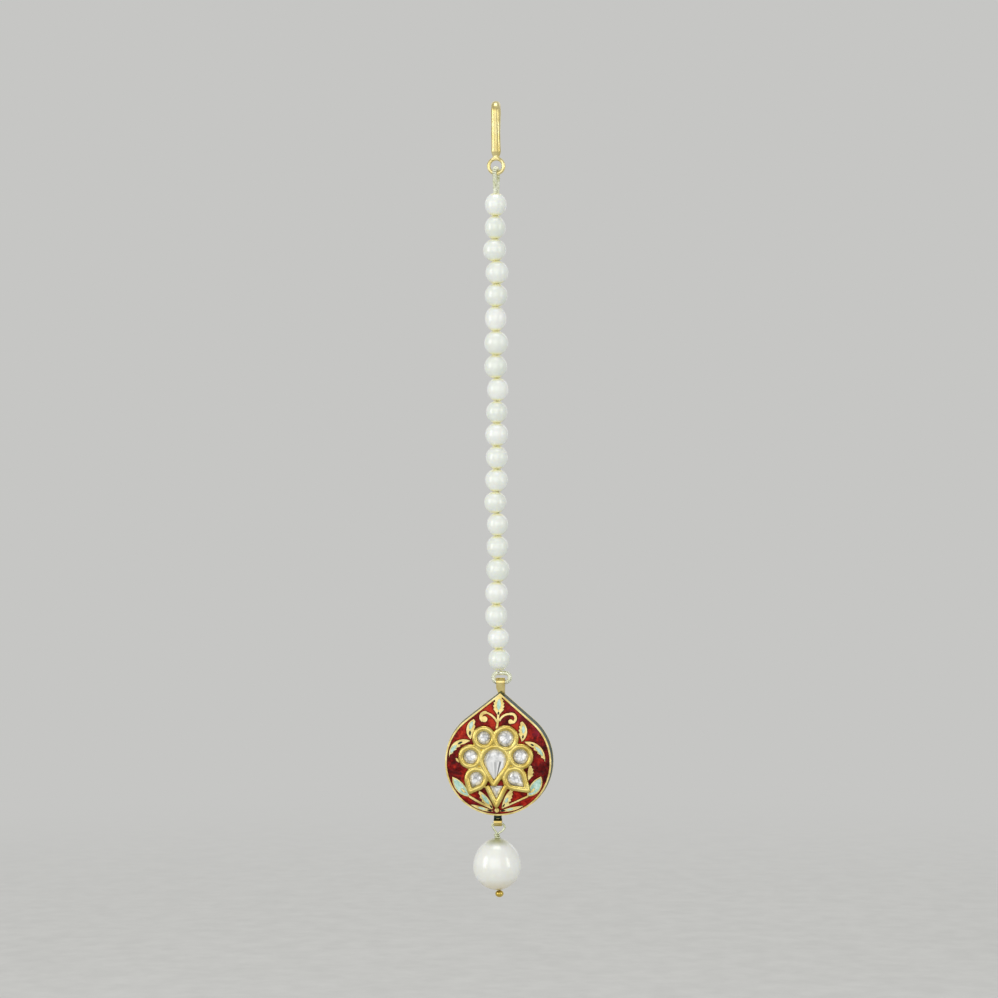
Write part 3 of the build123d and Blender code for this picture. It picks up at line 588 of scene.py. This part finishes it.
# %% The winding tree
def winding_tree():
    """Geometry nodes: a fine wire wound round the path it is given."""
    tree = bpy.data.node_groups.new("wound_wire", "GeometryNodeTree")
    face = tree.interface
    face.new_socket("Path", in_out="INPUT", socket_type="NodeSocketGeometry")
    for name in ("Coil radius", "Wire radius", "Turns"):
        face.new_socket(name, in_out="INPUT", socket_type="NodeSocketFloat")
    face.new_socket("Metal", in_out="INPUT", socket_type="NodeSocketMaterial")
    face.new_socket("Wire", in_out="OUTPUT", socket_type="NodeSocketGeometry")
    given = add(tree, "NodeGroupInput").outputs
    steps_a_turn = 14.0             # points of the path for each turn of the wire
    count = add(tree, "ShaderNodeMath", {0: given["Turns"], 1: steps_a_turn}, operation="MULTIPLY")
    dense = add(tree, "GeometryNodeResampleCurve", {"Curve": given["Path"], "Count": count.outputs[0]})
    part = add(tree, "GeometryNodeSplineParameter").outputs["Factor"]
    turned = add(tree, "ShaderNodeMath", {0: part, 1: given["Turns"]}, operation="MULTIPLY")
    angle = add(tree, "ShaderNodeMath", {0: turned.outputs[0], 1: math.tau}, operation="MULTIPLY")
    axis = add(tree, "GeometryNodeInputTangent").outputs[0]
    normal = add(tree, "GeometryNodeInputNormal").outputs[0]
    spun = add(tree, "ShaderNodeVectorRotate", {
        "Vector": normal, "Axis": axis, "Angle": angle.outputs[0]}, rotation_type="AXIS_ANGLE")
    out = add(tree, "ShaderNodeVectorMath", {
        0: spun.outputs[0], "Scale": given["Coil radius"]}, operation="SCALE")
    wound = add(tree, "GeometryNodeSetPosition", {
        "Geometry": dense.outputs[0], "Offset": out.outputs[0]})
    round_wire = add(tree, "GeometryNodeCurvePrimitiveCircle", {
        "Resolution": 8, "Radius": given["Wire radius"]})
    solid = add(tree, "GeometryNodeCurveToMesh", {
        "Curve": wound.outputs[0], "Profile Curve": round_wire.outputs[0], "Fill Caps": True})
    smooth = add(tree, "GeometryNodeSetShadeSmooth", {0: solid.outputs[0]})
    real = add(tree, "GeometryNodeRealizeInstances", {0: smooth.outputs[0]})
    metal = add(tree, "GeometryNodeSetMaterial", {0: real.outputs[0], "Material": given["Metal"]})
    add(tree, "NodeGroupOutput", {0: metal.outputs[0]})
    return tree


wound_wire = winding_tree()
print("tree:", wound_wire.name, "nodes:", len(wound_wire.nodes))

# %% Winding a path
def run_tree(piece, tree, values):
    """Run a geometry tree on an object, with its inputs by name, and keep the plain mesh."""
    modifier = piece.modifiers.new(tree.name, "NODES")
    modifier.node_group = tree
    for item in tree.interface.items_tree:
        if item.in_out == "INPUT" and item.name in values:
            modifier[item.identifier] = values[item.name]
    return baked(piece)


def path_curve(name, points):
    """Curve through points in mm, for a tree to follow."""
    data = bpy.data.curves.new(name, "CURVE")
    data.dimensions = "3D"
    spline = data.splines.new("POLY")
    spline.points.add(len(points) - 1)
    for point, place in zip(spline.points, points):
        point.co = (*(Vector(place) * MM), 1)
    return new_object(name, data)


coil_r, turn_pitch = 0.45, 0.28     # the turns are drawn coarser than a real gimp's, to show
wire_part = 0.54                    # the wire's radius in pitches: neighbouring turns touch


def gimp_loop(name, points, node):
    """Gimp wound along a path in place of a CAD loop."""
    long = sum((Vector(b) - Vector(a)).length for a, b in zip(points, points[1:]))
    wire_r = turn_pitch * wire_part
    loop = run_tree(path_curve(name, points), wound_wire, {
        "Coil radius": (coil_r - wire_r) * MM, "Wire radius": wire_r * MM,
        "Turns": round(long / turn_pitch), "Metal": gimp_wire})
    dress(loop, "strand", "coiled_wire", gimp_wire, node)


# %% The upper loop, an arch over the ring
strand_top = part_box("strand_pearl_01")[1].z / MM
arch_r, foot_apart = 0.9, 0.47      # radius of the arch, and half the way between its feet
arch_room, foot_room = 0.06, 0.02   # left over the ring's wire, and over the first pearl
upper_loop_turn = -18               # degrees about the string
arch_z = eye_z - eye_r + eye_wire_r + arch_room + coil_r - arch_r
leg_tall = arch_z - strand_top
leg_lean = math.degrees(math.atan2(arch_r - foot_apart, leg_tall))
side_long = math.hypot(leg_tall, arch_r - foot_apart)
arch = walk((-foot_apart, strand_top + foot_room), 90 + leg_lean, [
    (side_long, 0), (arch_r * math.radians(180 + 2 * leg_lean), -180 - 2 * leg_lean), (side_long, 0)])
loop_turn = Matrix.Rotation(math.radians(upper_loop_turn), 3, "Z")
arch_points = [loop_turn @ Vector((0, point.x, point.y)) for point in arch]
gimp_loop("upper_gimp_loop", arch_points, "upper_coil_loop")

# %% The lower loop, with its crooked ends
low_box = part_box("lower_coil_loop")
loop_top = low_box[1].z / MM - coil_r
loop_low = low_box[0].z / MM + coil_r
loop_left = low_box[0].x / MM + coil_r
loop_right = low_box[1].x / MM - coil_r
end_r = (loop_top - loop_low) / 2
left_end, right_end = -0.28, 0.12   # across, where the loop's two ends stop
flat = walk((left_end, loop_top), 180, [
    (left_end - loop_left - end_r, 0), (math.pi * end_r, 180),
    (loop_right - loop_left - 2 * end_r, 0), (math.pi * end_r, 180),
    (loop_right - end_r - right_end, 0)])
gimp_loop("lower_gimp_loop", [(point.x, 0, point.y) for point in flat], "lower_coil_loop")

# %% [markdown]
# ## The string of pearls
# Twenty-one pearls of nearly one size, none quite round. One mesh is enough for all: a tree
# puts it on a point for each pearl, with that pearl's own width, length and turn, and a
# slow noise then pushes every surface in and out a little, so no two keep the same outline.
# Each point takes its place and size from the CAD pearl that it stands for.

# %% The stringing tree
flat_from = 0.958                   # past this part of its half length a pearl's end is worn flat


def stringing_tree():
    """Geometry nodes: one pearl a point, sized, turned and made uneven."""
    tree = bpy.data.node_groups.new("strung_pearls", "GeometryNodeTree")
    face = tree.interface
    face.new_socket("Points", in_out="INPUT", socket_type="NodeSocketGeometry")
    face.new_socket("Unevenness", in_out="INPUT", socket_type="NodeSocketFloat")
    face.new_socket("Nacre", in_out="INPUT", socket_type="NodeSocketMaterial")
    face.new_socket("Pearls", in_out="OUTPUT", socket_type="NodeSocketGeometry")
    given = add(tree, "NodeGroupInput").outputs
    ball = add(tree, "GeometryNodeMeshUVSphere", {"Segments": 56, "Rings": 40, "Radius": 1.0})
    place = add(tree, "GeometryNodeInputPosition").outputs[0]
    parts = add(tree, "ShaderNodeSeparateXYZ", {0: place})
    worn = add(tree, "ShaderNodeClamp", {"Value": parts.outputs[2], "Min": -flat_from, "Max": flat_from})
    flat = add(tree, "ShaderNodeCombineXYZ", {0: parts.outputs[0], 1: parts.outputs[1], 2: worn.outputs[0]})
    shaped = add(tree, "GeometryNodeSetPosition", {
        "Geometry": ball.outputs[0], "Position": flat.outputs[0]})
    end = add(tree, "ShaderNodeMath", {0: parts.outputs[2]}, operation="ABSOLUTE")
    marked = add(tree, "GeometryNodeStoreNamedAttribute", {
        0: shaped.outputs[0], "Name": "pearl_end", "Value": end.outputs[0]},
        data_type="FLOAT", domain="POINT")
    size = add(tree, "GeometryNodeInputNamedAttribute", {0: "pearl_size"}, data_type="FLOAT_VECTOR")
    turn = add(tree, "GeometryNodeInputNamedAttribute", {0: "pearl_turn"}, data_type="FLOAT_VECTOR")
    strung = add(tree, "GeometryNodeInstanceOnPoints", {
        "Points": given["Points"], "Instance": marked.outputs[0],
        "Rotation": turn.outputs[0], "Scale": size.outputs[0]})
    real = add(tree, "GeometryNodeRealizeInstances", {0: strung.outputs[0]})
    noise = add(tree, "ShaderNodeTexNoise", {"Scale": per_mm(3.4), "Detail": 1.0})
    push_from = 0.62                # over this the noise pushes out, and under it in
    level = add(tree, "ShaderNodeMath", {0: noise.outputs[0], 1: push_from}, operation="SUBTRACT")
    push = add(tree, "ShaderNodeMath", {0: level.outputs[0], 1: given["Unevenness"]}, operation="MULTIPLY")
    normal = add(tree, "GeometryNodeInputNormal").outputs[0]
    out = add(tree, "ShaderNodeVectorMath", {0: normal, "Scale": push.outputs[0]}, operation="SCALE")
    uneven = add(tree, "GeometryNodeSetPosition", {"Geometry": real.outputs[0], "Offset": out.outputs[0]})
    smooth = add(tree, "GeometryNodeSetShadeSmooth", {0: uneven.outputs[0]})
    nacre = add(tree, "GeometryNodeSetMaterial", {0: smooth.outputs[0], "Material": given["Nacre"]})
    add(tree, "NodeGroupOutput", {0: nacre.outputs[0]})
    return tree


strung_pearls = stringing_tree()
print("tree:", strung_pearls.name, "nodes:", len(strung_pearls.nodes))

# %% One point for each pearl
pearl_nodes = sorted(name for name in nodes if name.startswith("strand_pearl"))
boxes = [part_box(name) for name in pearl_nodes]
chance = random.Random(21)
points = bpy.data.meshes.new("pearl_string")
points.from_pydata([(low + high) / 2 for low, high in boxes], [], [])
halves = [(high - low) / 2 for low, high in boxes]
sizes = points.attributes.new("pearl_size", "FLOAT_VECTOR", "POINT")
for row, half in zip(sizes.data, halves):
    row.vector = (half.x, half.y, half.z / flat_from)
turns = points.attributes.new("pearl_turn", "FLOAT_VECTOR", "POINT")
for row in turns.data:
    row.vector = (0, 0, chance.uniform(0, math.tau))
tones = points.attributes.new("pearl_tone", "FLOAT", "POINT")
for row in tones.data:
    row.value = chance.uniform(-0.3, 0.3)
string = run_tree(new_object("pearl_string", points), strung_pearls, {
    "Unevenness": 0.12 * MM, "Nacre": string_nacre})
dress(string, "strand", "pearl", string_nacre, *pearl_nodes)
nodes["thread"].data.materials.clear()
nodes["thread"].data.materials.append(silk)

# %% [markdown]
# ## The gold round the stones
# The setter packs soft pure gold round each stone and pushes it down in a fat, rounded
# ridge. Where two ridges meet they are worked into each other, so there is no seam. The CAD
# ridges are plain round bars; fused in voxels and smoothed, they flow together as the real
# ones do.

# %% Kundan ridges
ground_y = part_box("red_enamel")[0].y / MM       # the red enamel's surface
skin_deep = 0.2                     # what lies deeper than this is hidden by the case


def in_sight(place):
    """Whether a face with its middle at this place, in mm, is kept."""
    return place.y < ground_y + skin_deep


kundan = merged_copy("kundan_gold_work", "kundan_setting")
kundan = flowed(kundan, 0.066, 7, keep=in_sight)
print("kundan kept points:", len(kundan.data.vertices))
dress(kundan, "pendant", "kundan_gold", kundan_gold, "kundan_setting")

# %% [markdown]
# ## The red ground
# Stoned flush with the gold, the enamel still dips and rises a little where it meets the
# metal. A fine copy of its solid carries that, and an attribute that says how far each point
# is from the gold, which the finish uses to paint shade along the gold walls.

# %% Red enamel pool
red = flowed(merged_copy("red_enamel_ground", "red_enamel"), 0.06, 2, keep=in_sight)
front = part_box("red_enamel")[0].y
wall_from, wall_to = 0.06, 0.2      # mm behind the front: points there are on the side walls


def mark_from_gold(piece, front, reach):
    """Store on each point its distance to the piece's side walls, as a part of a reach in mm."""
    mesh = piece.data
    edges = [v.co for v in mesh.vertices
             if v.co.y > front + wall_from * MM and v.co.y < front + wall_to * MM]
    tree = KDTree(len(edges))
    for index, place in enumerate(edges):
        tree.insert(place, index)
    tree.balance()
    values = mesh.attributes.new("from_gold", "FLOAT", "POINT")
    for vertex in mesh.vertices:
        distance = tree.find(vertex.co)[2]
        values.data[vertex.index].value = min(1.0, distance / (reach * MM))


mark_from_gold(red, front, reach=0.3)
swell = 0.05 * MM                   # the enamel wets the gold: it closes the gap that CAD leaves
outward = [vertex.normal.copy() for vertex in red.data.vertices]
for vertex, normal in zip(red.data.vertices, outward):
    vertex.co += Vector((normal.x, 0, normal.z)) * swell
dress(red, "pendant", "red_enamel", red_enamel, "red_enamel")

# %% [markdown]
# ## Case, enamels and stones
# The case's shape and the stones' cuts are already right in CAD. Copies with their triangles
# joined shade smoothly round the case and stay crisp at the cut edges.

# %% Case, sides, back and cells
# name of the copy, CAD node, slot and finish
plain_copies = [
    ("gold_case", "pendant_case", "gold", sheet_gold),
    ("side_enamel_band", "side_enamel", "green_enamel", side_enamel),
    ("back_enamel_panel", "back_enamel", "green_enamel", back_enamel),
    ("pale_enamel_cells", "pale_enamel", "pale_enamel", pale_enamel),
    ("dark_enamel_cells", "dark_enamel", "dark_green_enamel", dark_enamel),
    ("neck_collar_enamel", "neck_collar", "dark_green_enamel", dark_enamel)]
for name, node, slot, finish in plain_copies:
    dress(merged_copy(name, node), "pendant", slot, finish, node)

# %% Stones
stone_nodes = [name for name in nodes if "stone" in name]
for name in stone_nodes:
    nodes[name].data.materials.clear()
    nodes[name].data.materials.append(centre_stone if name == "centre_stone" else petal_stone)
print("stones:", stone_nodes)

# %% [markdown]
# ## The drop
# One wire does everything: it comes up through the pearl, runs out into a loop through the
# case's lower bail, comes back and is wound twice round its own stem. A small gold bead
# closes its lower end.

# %% The wrapped wire
pearl_low, pearl_high = (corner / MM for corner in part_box("drop_pearl"))
wire_low, wire_high = (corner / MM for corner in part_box("drop_wire"))
wire_r = 0.19
stem_x = (wire_low.x + wire_high.x) / 2
top_z = wire_high.z - wire_r
loop_tall = 1.85
twist_z = top_z - loop_tall
wrap_r, wrap_turns, turn_steps = 0.38, 2, 24
wrap_room, wrap_spare = 0.03, 0.15
# the height over the pearl, less a little room, is shared by the turns and part of one more
wrap_pitch = (twist_z - pearl_high.z - wrap_room) / (wrap_turns + wrap_spare)
wrap_start = 0.25                   # the first wrap starts this many pitches under the twist
lean, lean_end = 0.3, 0.06          # how far left of the pearl's hole the wraps start and end
# across and up from the twist: up on the left, through the bail and down on the right
loop = [
    (-0.3, 0.05), (-0.56, 0.42), (-0.85, 0.88), (-1.04, 1.25), (-1.1, 1.55), (-0.96, 1.77),
    (-0.6, loop_tall), (0.0, loop_tall), (0.6, loop_tall),
    (0.98, 1.68), (1.22, 1.36), (1.26, 1.02), (1.08, 0.68), (0.74, 0.38), (0.34, 0.12)]
stem = [(0.0, pearl_low.z - 0.4), (0.0, pearl_high.z - 0.5), (-0.05, pearl_high.z), (-0.28, twist_z - 0.2)]
guide = [(x, 0.0, z) for x, z in stem] + [(x, 0.0, twist_z + z) for x, z in loop]
for index in range(wrap_turns * turn_steps + 1):
    angle, down = 2 * math.pi * index / turn_steps, index / (wrap_turns * turn_steps)
    middle = -lean + down * (lean - lean_end)
    guide.append((middle + wrap_r * math.cos(angle), wrap_r * math.sin(angle),
                  twist_z - wrap_pitch * (index / turn_steps + wrap_start)))
wire = bpy.data.curves.new("drop_wrapped_wire", "CURVE")
wire.dimensions = "3D"
spline = wire.splines.new("BEZIER")
spline.bezier_points.add(len(guide) - 1)
for point, (x, y, z) in zip(spline.bezier_points, guide):
    point.co = Vector((stem_x + x, y, z)) * MM
    point.handle_left_type = point.handle_right_type = "AUTO"
spline.resolution_u = 6
wire.bevel_depth = wire_r * MM
wire.bevel_resolution = 4
wire.use_fill_caps = True
drop_loop = baked(new_object("drop_wrapped_wire", wire))
drop_loop.data.shade_smooth()
dress(drop_loop, "drop", "wire", drop_wire_metal, "drop_wire")

# %% [markdown]
# The pearl and the bead are turned shapes: a profile spun about the pin. The profile of the
# pearl goes down into its drill hole, which gives the hole a rounded mouth.

# %% Turned shapes
def turned(name, profile, centre_x, count=96):
    """Spin a profile of radius and height, in mm, about a vertical line."""
    points, faces = [], []
    for radius, height in profile:
        for turn in range(count):
            angle = 2 * math.pi * turn / count
            points.append((centre_x + radius * math.cos(angle), radius * math.sin(angle), height))
    for ring in range(len(profile) - 1):
        for turn in range(count):
            a, b = ring * count + turn, ring * count + (turn + 1) % count
            faces.append((a, b, b + count, a + count))
    faces.append(tuple(reversed(range(count))))
    faces.append(tuple(range(len(points) - count, len(points))))
    return recalculated(mesh_object(name, points, faces))


def bezier_rows(corners, count):
    """Points along one cubic curve through four corners of radius and height."""
    rows = []
    for step in range(1, count + 1):
        part = step / count
        mix = ((1 - part) ** 3, 3 * part * (1 - part) ** 2, 3 * part ** 2 * (1 - part), part ** 3)
        rows.append(tuple(sum(m * c[axis] for m, c in zip(mix, corners)) for axis in (0, 1)))
    return rows


pearl_middle = (pearl_low + pearl_high) / 2
pearl_half = (pearl_high - pearl_low) / 2
wide, tall = pearl_half.x, pearl_half.z
belly = -0.43                       # the pearl is widest a little under its middle
shoulder, crown = 0.59, 0.4         # how full it is above its belly, at its side and its top
hip, foot = 0.58, 0.47              # the same below
mouth_r, hole_r, hole_deep = 0.3, 0.26, 1.0     # the drill hole narrows from its mouth inwards
rows = 40                           # rings of the mesh above the belly, and as many below it
side_above, side_below = belly + shoulder * (tall - belly), belly - hip * (tall + belly)
upper = bezier_rows([(0, tall), (crown * wide, tall), (wide, side_above), (wide, belly)], rows)
lower = bezier_rows([(wide, belly), (wide, side_below), (foot * wide, -tall), (0, -tall)], rows)
skin = [(radius, height) for radius, height in upper + lower if radius > mouth_r]
profile = [(hole_r, tall - hole_deep)] + skin + [(hole_r, hole_deep - tall)]
profile = [(radius, pearl_middle.z + height) for radius, height in profile]
big_pearl = turned("drop_pearl_nacre", profile, pearl_middle.x)
ends = big_pearl.data.attributes.new("pearl_end", "FLOAT", "POINT")
for vertex in big_pearl.data.vertices:
    ends.data[vertex.index].value = max(0, (vertex.co.z / MM - pearl_middle.z) / pearl_half.z)
warm_from = 0.5                     # the warm tint starts half-way from the middle to the foot
warm = big_pearl.data.attributes.new("pearl_warm", "FLOAT", "POINT")
for vertex in big_pearl.data.vertices:
    down = (pearl_middle.z - vertex.co.z / MM) / pearl_half.z
    warm.data[vertex.index].value = min(1, max(0, (down - warm_from) / (1 - warm_from)))
dress(big_pearl, "drop", "drop_pearl", drop_nacre, "drop_pearl")

# %% The end bead
bead_low, bead_high = (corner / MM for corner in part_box("end_bead"))
bead_middle, bead_half = (bead_low + bead_high) / 2, (bead_high - bead_low) / 2
bead_rows, pole = 32, 0.02          # the profile stops this part of a half turn short of each pole
profile = []
for step in range(bead_rows + 1):
    angle = math.pi * (pole + (1 - 2 * pole) * step / bead_rows)
    profile.append((bead_half.x * math.sin(angle), bead_middle.z + bead_half.z * math.cos(angle)))
dress(turned("end_bead_gold", profile, bead_middle.x, 64), "drop", "gold", kundan_gold, "end_bead")

# %% [markdown]
# ## Light, floor and camera
# Pearls and polished gold show the room more than themselves, so the room is plain: a pale
# world and a pale floor well below. One broad soft light stands in front, a tall one at each
# side, one hangs above, and a broad one behind lights the edges. All are large, because the
# gold and the pearls' coat mirror them.

# %% World and floor
world = bpy.data.worlds.new("pale_room")
bpy.context.scene.world = world
world.use_nodes = True
room_colour = linear("#C6C6C4")
world.node_tree.nodes["Background"].inputs["Color"].default_value = room_colour

floor_z = cad_box[0][2] - 45 * MM
half = 3.0                          # metres: half the floor's width
floor_mesh = bpy.data.meshes.new("floor")
floor_corners = [
    (-half, -half, floor_z), (half, -half, floor_z), (half, half, floor_z), (-half, half, floor_z)]
floor_mesh.from_pydata(floor_corners, [], [(0, 1, 2, 3)])
floor = new_object("floor", floor_mesh)
plaster, tree, shader, place = new_finish("pale_matt_paper")
paper = add(tree, "ShaderNodeTexNoise", {"Vector": place, "Scale": per_mm(6.0), "Detail": 3})
tone = add(tree, "ShaderNodeValToRGB", {0: paper.outputs[0]})
tree.links.new(blend_stops(tone, [(0.3, "#CFCFCD"), (0.7, "#D6D6D4")]), shader.inputs["Base Color"])
shader.inputs["Roughness"].default_value = 0.9
# further out the paper fades into the room's own colour, so that no horizon shows
far = add(tree, "ShaderNodeVectorMath", {0: place}, operation="LENGTH")
fade = add(tree, "ShaderNodeMapRange", {
    0: far.outputs["Value"], 1: 260 * MM, 2: 620 * MM}, interpolation_type="SMOOTHSTEP")
glow = add(tree, "ShaderNodeEmission", {"Color": room_colour})
both = add(tree, "ShaderNodeMixShader", {0: fade.outputs[0], 1: shader.outputs[0], 2: glow.outputs[0]})
tree.links.new(both.outputs[0], tree.nodes["Material Output"].inputs[0])
floor.data.materials.append(plaster)
print("floor at", round(floor_z / MM, 1), "mm")

# %% Soft lights
def soft_light(name, place, aim, wide, tall, watts):
    """Rectangular soft light at a place, turned to an aim, all in mm."""
    data = bpy.data.lights.new(name, "AREA")
    data.shape = "RECTANGLE"
    data.size, data.size_y, data.energy = wide * MM, tall * MM, watts
    lamp = bpy.data.objects.new(name, data)
    lamp.location = Vector(place) * MM
    lamp.rotation_euler = (Vector(aim) * MM - lamp.location).to_track_quat("-Z", "Y").to_euler()
    lamp.visible_camera = False     # it lights and reflects, but isn't seen itself
    bpy.context.scene.collection.objects.link(lamp)
    return lamp


aim = (0, 0, -80)
soft_light("front", (-50, -620, 20), aim, 600, 520, 1.0)
soft_light("left", (-530, -330, 40), aim, 220, 460, 0.9)
soft_light("right", (540, -300, 20), aim, 160, 400, 0.5)
soft_light("above", (0, -60, 520), aim, 360, 260, 0.7)
soft_light("behind", (0, 640, 160), aim, 760, 520, 0.5)
print("lights ready")

# %% Camera
# it stands a little to the right of the front, and rolls by a quarter of a degree
turn, roll = math.radians(4), math.radians(-0.25)
look_at = Vector((0.26, 0, -74.4)) * MM
distance = 490 * MM
camera_data = bpy.data.cameras.new("camera")
camera_data.lens, camera_data.sensor_width = 93.03, 36
camera = bpy.data.objects.new("camera", camera_data)
right = Vector((math.cos(turn), math.sin(turn), 0))
back = Vector((math.sin(turn), -math.cos(turn), 0))
facing = Matrix((right, Vector((0, 0, 1)), back)).transposed().to_4x4()
camera.matrix_world = (Matrix.Translation(look_at + back * distance) @ facing
                       @ Matrix.Rotation(roll, 4, "Z"))
bpy.context.scene.collection.objects.link(camera)
bpy.context.scene.camera = camera
bpy.context.scene.view_settings.view_transform = "Standard"
